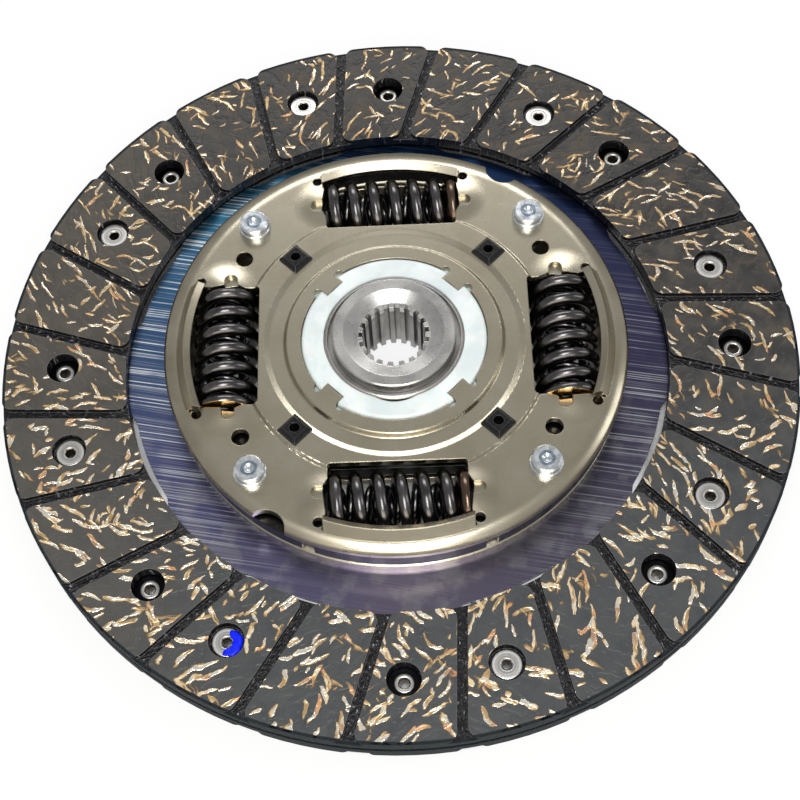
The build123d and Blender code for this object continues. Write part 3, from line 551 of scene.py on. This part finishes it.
def rivet_metal(side):
    """Tubular rivets: pale steel with turned rings, darker beside the bore."""
    r = Recipe(f"rivet_metal_{side}", Metallic=1.0)
    out = r.from_nearest(RIVET_CIRCLE, RIVET_COUNT, RIVET_AZIMUTHS[side])
    rings = r.math("SINE", r.times(out, 9.0))
    wobble = r.plus(out, r.times(r.noise(1.5, 2), 0.4))
    colour = r.ramp(
        r.window(wobble, RIVET_BORE, RIVET_HEAD + 0.3),
        (0.0, (0.22, 0.19, 0.15)),
        (0.10, (0.74, 0.72, 0.69)),
        (0.30, (0.46, 0.45, 0.43)),
        (0.60, (0.66, 0.65, 0.62)),
        (0.85, (0.84, 0.82, 0.79)),
    )
    stain = r.window(r.noise(1.1, 3), 0.55, 0.7, 0.0, 0.4)
    return r.finish(
        Base_Color=r.mix(stain, colour, (0.36, 0.32, 0.27)),
        Roughness=r.window(rings, -1, 1, 0.28, 0.36),
        Normal=r.bump(rings, 0.005, r.rounded(0.2)),
    )


# ---------------------------------------------------------------- plastics and paint


def nylon():
    """Natural nylon, milky and slightly bluish."""
    r = Recipe("nylon", Subsurface_Weight=0.3, Subsurface_Scale=0.002, IOR=1.53)
    cloud = r.noise(8, 2)
    return r.finish(
        Base_Color=r.ramp(cloud, (0.35, (0.63, 0.70, 0.71)), (0.65, (0.76, 0.81, 0.81))),
        Roughness=r.window(cloud, 0.3, 0.7, 0.22, 0.34),
        Normal=r.bump(r.noise(3, 2), 0.05, r.rounded(0.5)),
    )


def moulded(name, dark, pale, roughness):
    """Plain moulded plastic with a fine grain and a painted highlight along its edges."""
    r = Recipe(name)
    grain = r.noise(0.6, 3)
    rounded = r.rounded(0.3)
    colour = r.ramp(grain, (0.35, dark), (0.65, pale))
    return r.finish(
        # Painted highlight: ten times the pale colour along the edges.
        Base_Color=r.mix(r.times(r.edge(rounded), 0.6), colour, [10 * level for level in pale]),
        Roughness=r.window(grain, 0.3, 0.7, roughness - 0.06, roughness + 0.06),
        Normal=r.bump(grain, 0.03, rounded),
    )


def paint():
    """Thick blue marking paint."""
    r = Recipe("marking_paint", IOR=1.35)
    streak = r.noise(1.2, 2)
    return r.finish(
        Base_Color=r.ramp(streak, (0.3, (0.0, 0.008, 0.75)), (0.7, (0.0, 0.02, 1.0))),
        Roughness=r.window(streak, 0.3, 0.7, 0.3, 0.45),
        Normal=r.bump(streak, 0.06),
    )


# ---------------------------------------------------------------- the inspector's dab of paint

DAB_RIVET = 5
DAB_INNER = RIVET_BORE + 0.1
DAB_OUTER = RIVET_HEAD + 0.15
DAB_HEIGHT = 0.3
DAB_START = radians(-112)
DAB_END = radians(78)
DAB_ROWS = 64
DAB_COLUMNS = 12


def dab_row(mesh, centre, share):
    """The vertices across the stroke at a share of its length; it tapers and thins out at both ends."""
    angle = DAB_START + share * (DAB_END - DAB_START)
    taper = sin(pi * share) ** 0.25
    half = (DAB_OUTER - DAB_INNER) / 2 * taper * (1 + 0.06 * sin(9 * angle))
    middle = (DAB_OUTER + DAB_INNER) / 2 + 0.1 * sin(5 * angle)
    row = []
    for column in range(DAB_COLUMNS + 1):
        side = 2 * column / DAB_COLUMNS - 1
        reach = middle + side * half
        z = RIVET_TOP_Z + DAB_HEIGHT * taper * (1 - side**4)
        place = (centre[0] + reach * cos(angle), centre[1] + reach * sin(angle), z)
        row.append(mesh.verts.new([MM * value for value in place]))
    return row


def dab_of_paint():
    """A C-shaped dab over one rivet head, rounded like a wet stroke and open towards -X."""
    azimuth = radians(RIVET_AZIMUTHS["front"] + DAB_RIVET * 360 / RIVET_COUNT)
    centre = (RIVET_CIRCLE * cos(azimuth), RIVET_CIRCLE * sin(azimuth))
    mesh = bmesh.new()
    rows = [dab_row(mesh, centre, i / DAB_ROWS) for i in range(DAB_ROWS + 1)]
    for near, far in zip(rows, rows[1:]):
        for j in range(DAB_COLUMNS):
            mesh.faces.new((near[j], far[j], far[j + 1], near[j + 1])).smooth = True
    bmesh.ops.remove_doubles(mesh, verts=mesh.verts, dist=0.001 * MM)
    bmesh.ops.recalc_face_normals(mesh, faces=mesh.faces)
    data = bpy.data.meshes.new("paint_dab")
    mesh.to_mesh(data)
    mesh.free()
    data.materials.append(paint())
    dab = bpy.data.objects.new("paint_dab", data)
    SCENE.collection.objects.link(dab)
    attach(dab, "disc")


dab_of_paint()

# ---------------------------------------------------------------- the CAD nodes' materials


def dress(material, *nodes):
    """Give CAD nodes one material."""
    for node in nodes:
        for slot in bpy.data.objects[node].material_slots:
            slot.material = material


def dress_springs(material, *numbers):
    """Give the spring pairs with these numbers one material."""
    dress(material, *[f"{kind}_spring_{n}" for kind in ("damper", "inner") for n in numbers])


dress(lining(), "front_facing", "rear_facing")
dress(blued_steel(), "cushion_disc")
dress(rivet_metal("front"), "front_rivets")
dress(rivet_metal("rear"), "rear_rivets")
dress(
    plated("nickel_plate", (0.54, 0.495, 0.385), (0.39, 0.35, 0.265), RETAINER_RIM),
    "retainer_plate",
    "disc_plate",
)
dress(sintered(), "hub")
dress(
    plated("flange_steel", (0.040, 0.040, 0.038), (0.020, 0.020, 0.020)),
    "hub_flange",
    "carrier_rivets",
)
dress(plated("washer_spring", (0.30, 0.28, 0.25), (0.22, 0.2, 0.18)), "preload_spring")
dress_springs(spring_wire("spring_ground_face", "face"), 1, 3)
dress_springs(spring_wire("spring_brown_end", "coil"), 2, 4)
dress(zinc(), *[f"stop_pin_{n}" for n in range(1, PIN_COUNT + 1)])
dress(nylon(), "front_bush", "rear_bush")
dress(moulded("black_plastic", (0.003, 0.003, 0.0035), (0.007, 0.007, 0.008), 0.2), "friction_ring")
dress(moulded("washer_material", (0.06, 0.052, 0.042), (0.09, 0.08, 0.066), 0.55), "friction_washer")

# ---------------------------------------------------------------- camera, floor and light

CAMERA_AT = (0.00653, -0.20070, 0.36057)
CAMERA_TURN = (27.986, 3.643, -0.401)
SENSOR_MM = 36.0
LENS_MM = 72.26
SHIFT = (0.0778, 0.0040)

WHITE = (1.0, 1.0, 1.0, 1.0)
FLOOR_HALF = 30.0
FLOOR_GLOW = 0.8
# How much the floor shines, by the radius as a share of the facings': bright in the hub's bore, and under the
# disc
# painted light: dim under the springs, brighter at the far side of their windows, and none under the facings
FLOOR_GLOW_AND_PAINTED_LIGHT = (
    (0.0, FLOOR_GLOW),
    (0.22, FLOOR_GLOW),
    (0.26, 0.08),
    (0.45, 0.08),
    (0.58, 0.45),
    (0.73, 0.45),
    (0.76, 0.0),
    (0.985, 0.0),
    (1.0, FLOOR_GLOW),
)

DOME_STRENGTH = 0.40
# Place and size in metres, watts, colour
LAMPS = {
    "key": ((0.0, 0.78, 0.60), (0.6, 0.25), 2.5, (1, 1, 1)),
    "top": ((0.0, -0.32, 0.86), (0.30, 0.50), 4.6, (1, 1, 1)),
    "side": ((0.75, 0.1, 0.5), (0.25, 0.4), 0.8, (1, 1, 1)),
    "front": ((0.0, -0.75, 0.48), (0.9, 0.42), 3.4, (1.0, 0.93, 0.78)),
}


def add_camera():
    data = bpy.data.cameras.new("camera")
    data.sensor_width = SENSOR_MM
    data.lens = LENS_MM
    data.shift_x, data.shift_y = SHIFT
    data.clip_start = 0.01
    camera = bpy.data.objects.new("camera", data)
    camera.location = CAMERA_AT
    camera.rotation_euler = [radians(a) for a in CAMERA_TURN]
    SCENE.collection.objects.link(camera)
    SCENE.camera = camera


def add_lamp(name, at, size, watts, colour):
    """A rectangular softbox aimed at the disc."""
    data = bpy.data.lights.new(name, "AREA")
    data.shape = "RECTANGLE"
    data.size, data.size_y = size
    data.energy = watts
    data.color = colour
    lamp = bpy.data.objects.new(name, data)
    lamp.location = at
    lamp.rotation_euler = (-Vector(at)).to_track_quat("-Z", "Y").to_euler()
    SCENE.collection.objects.link(lamp)


def seen(r):
    """1 for rays that show the background: from the camera, by reflection or through glass."""
    path = r.add("ShaderNodeLightPath")
    return r.most(*[path.outputs[f"Is {ray} Ray"] for ray in ("Camera", "Glossy", "Transmission")])


def floor_glow_and_painted_light(r):
    """The floor's glow by radius, painted light under the disc, and none where it shows through the gaps on
    either side of the ring.
    """
    level = r.ramp(r.over(r.radius(), FACING_RADIUS), *[(at, [glow] * 3) for at, glow in FLOOR_GLOW_AND_PAINTED_LIGHT])
    beside = r.window(r.size_of(r.x), RETAINER_RADIUS, RETAINER_RADIUS + 4.0)
    covered = r.window(r.radius(), RIVET_CIRCLE, RIVET_CIRCLE - 4.0)
    return r.blend(r.times(beside, covered), level, 0.0)


def add_floor():
    """A white floor that shines in part where it is seen; the part that doesn't keeps the shadows."""
    mesh = bpy.data.meshes.new("floor")
    corners = [(x * FLOOR_HALF, y * FLOOR_HALF, 0) for x, y in ((-1, -1), (1, -1), (1, 1), (-1, 1))]
    mesh.from_pydata(corners, [], [(0, 1, 2, 3)])
    floor = bpy.data.objects.new("floor", mesh)
    r = Recipe("floor")
    shine = r.add("ShaderNodeEmission")
    mixed = r.add("ShaderNodeMixShader")
    r.feed(mixed.inputs[0], r.times(seen(r), floor_glow_and_painted_light(r)))
    r.feed(mixed.inputs[1], r.shader.outputs[0])
    r.feed(mixed.inputs[2], shine.outputs[0])
    r.feed(r.nodes["Material Output"].inputs["Surface"], mixed.outputs[0])
    mesh.materials.append(r.finish(Base_Color=(0.9, 0.9, 0.9, 1), Roughness=0.8))
    SCENE.collection.objects.link(floor)


def add_world():
    """An even white dome, the same for the camera, for metal and for light; the floor fills the view."""
    world = bpy.data.worlds.new("world")
    world.use_nodes = True
    background = world.node_tree.nodes["Background"]
    background.inputs["Color"].default_value = WHITE
    background.inputs["Strength"].default_value = DOME_STRENGTH
    SCENE.world = world


add_camera()
add_floor()
add_world()
for lamp_name, settings in LAMPS.items():
    add_lamp(lamp_name, *settings)
SCENE.view_settings.view_transform = "Standard"
